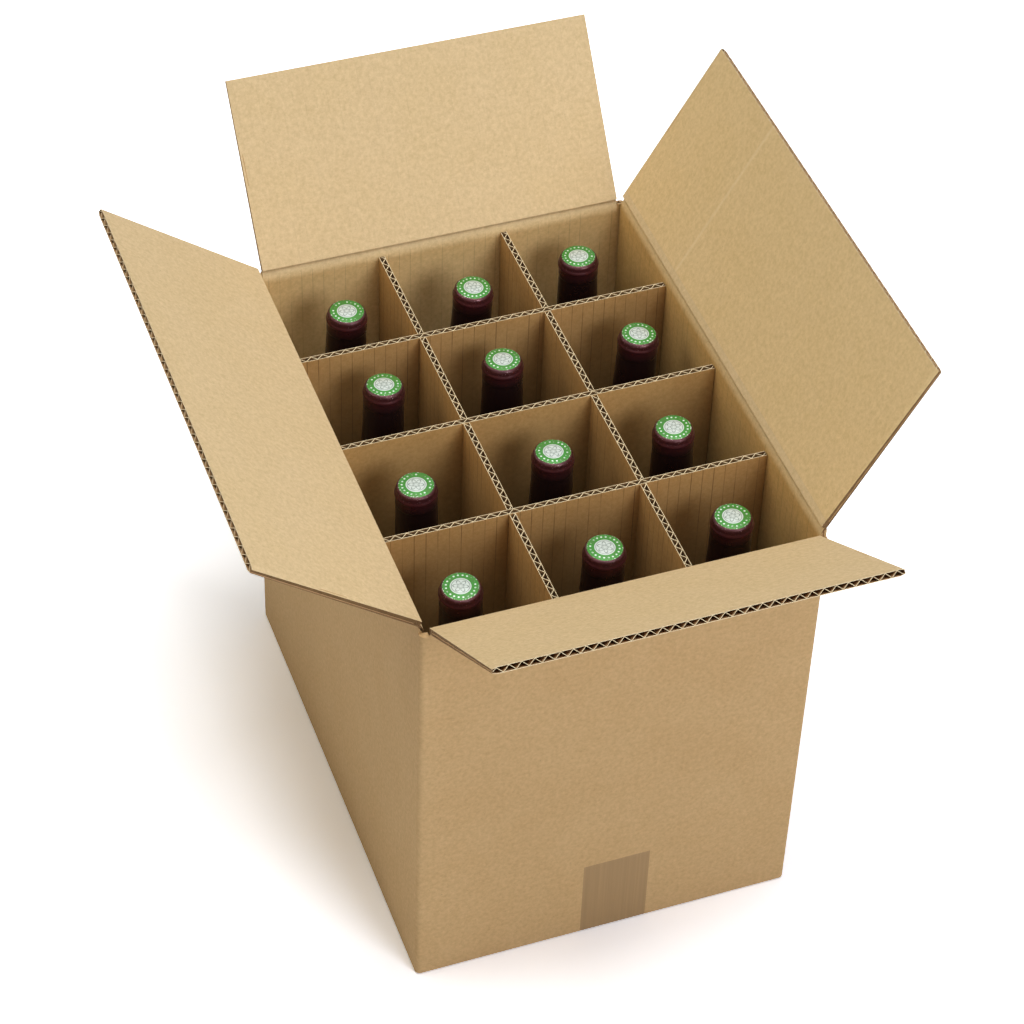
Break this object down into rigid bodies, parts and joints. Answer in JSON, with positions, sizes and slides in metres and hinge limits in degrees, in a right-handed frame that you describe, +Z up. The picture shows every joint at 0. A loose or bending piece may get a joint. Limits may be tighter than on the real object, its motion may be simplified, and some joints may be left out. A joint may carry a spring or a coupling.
{
  "type": "bottle shipping box",
  "caption": "Corrugated shipping box standing open on its taped base, with a slotted divider grid that keeps sealed bottles apart and four hinged top flaps.",
  "frame": {"origin": "centre of the underside, on the bottom seam", "axes": "+Z up, +Y from the narrow taped front panel to the back, +X to the right seen from the front"},
  "size_m": [0.4161, 0.5144, 0.4264],
  "materials": {
    "kraft_board": "unprinted brown kraft corrugated board",
    "brown_tape": "thin brown packing tape, low gloss",
    "dark_glass": "very dark green bottle glass",
    "cork": "natural cork",
    "capsule_foil": "satin burgundy foil",
    "disc_print": null
  },
  "bodies": {
    "box": {"box_body": "kraft_board", "bottom_tape": "brown_tape", "long_divider_left": "kraft_board", "long_divider_right": "kraft_board", "cross_divider_front": "kraft_board", "cross_divider_middle": "kraft_board", "cross_divider_back": "kraft_board", "glass_bottle_01": "dark_glass", "cork_01": "cork", "capsule_01": "capsule_foil", "capsule_disc_01": "disc_print", "glass_bottle_02": "dark_glass", "cork_02": "cork", "capsule_02": "capsule_foil", "capsule_disc_02": "disc_print", "glass_bottle_03": "dark_glass", "cork_03": "cork", "capsule_03": "capsule_foil", "capsule_disc_03": "disc_print", "glass_bottle_04": "dark_glass", "cork_04": "cork", "capsule_04": "capsule_foil", "capsule_disc_04": "disc_print", "glass_bottle_05": "dark_glass", "cork_05": "cork", "capsule_05": "capsule_foil", "capsule_disc_05": "disc_print", "glass_bottle_06": "dark_glass", "cork_06": "cork", "capsule_06": "capsule_foil", "capsule_disc_06": "disc_print", "glass_bottle_07": "dark_glass", "cork_07": "cork", "capsule_07": "capsule_foil", "capsule_disc_07": "disc_print", "glass_bottle_08": "dark_glass", "cork_08": "cork", "capsule_08": "capsule_foil", "capsule_disc_08": "disc_print", "glass_bottle_09": "dark_glass", "cork_09": "cork", "capsule_09": "capsule_foil", "capsule_disc_09": "disc_print", "glass_bottle_10": "dark_glass", "cork_10": "cork", "capsule_10": "capsule_foil", "capsule_disc_10": "disc_print", "glass_bottle_11": "dark_glass", "cork_11": "cork", "capsule_11": "capsule_foil", "capsule_disc_11": "disc_print", "glass_bottle_12": "dark_glass", "cork_12": "cork", "capsule_12": "capsule_foil", "capsule_disc_12": "disc_print"},
    "front_flap": {"top_flap_front": "kraft_board"},
    "back_flap": {"top_flap_back": "kraft_board"},
    "left_flap": {"top_flap_left": "kraft_board"},
    "right_flap": {"top_flap_right": "kraft_board"}
  },
  "joints": [
    {"name": "front_flap_crease", "type": "hinge", "parent": "box", "child": "front_flap", "pos_m": [0, -0.17015, 0.3135], "axis": [1, 0, 0], "range_deg": [-145.5, 119.5]},
    {"name": "back_flap_crease", "type": "hinge", "parent": "box", "child": "back_flap", "pos_m": [0, 0.17015, 0.3135], "axis": [-1, 0, 0], "range_deg": [-126.4, 138.6]},
    {"name": "left_flap_crease", "type": "hinge", "parent": "box", "child": "left_flap", "pos_m": [-0.12815, 0, 0.3178], "axis": [0, -1, 0], "range_deg": [-143.2, 121.8]},
    {"name": "right_flap_crease", "type": "hinge", "parent": "box", "child": "right_flap", "pos_m": [0.12815, 0, 0.3178], "axis": [0, 1, 0], "range_deg": [-120, 145]}
  ]
}
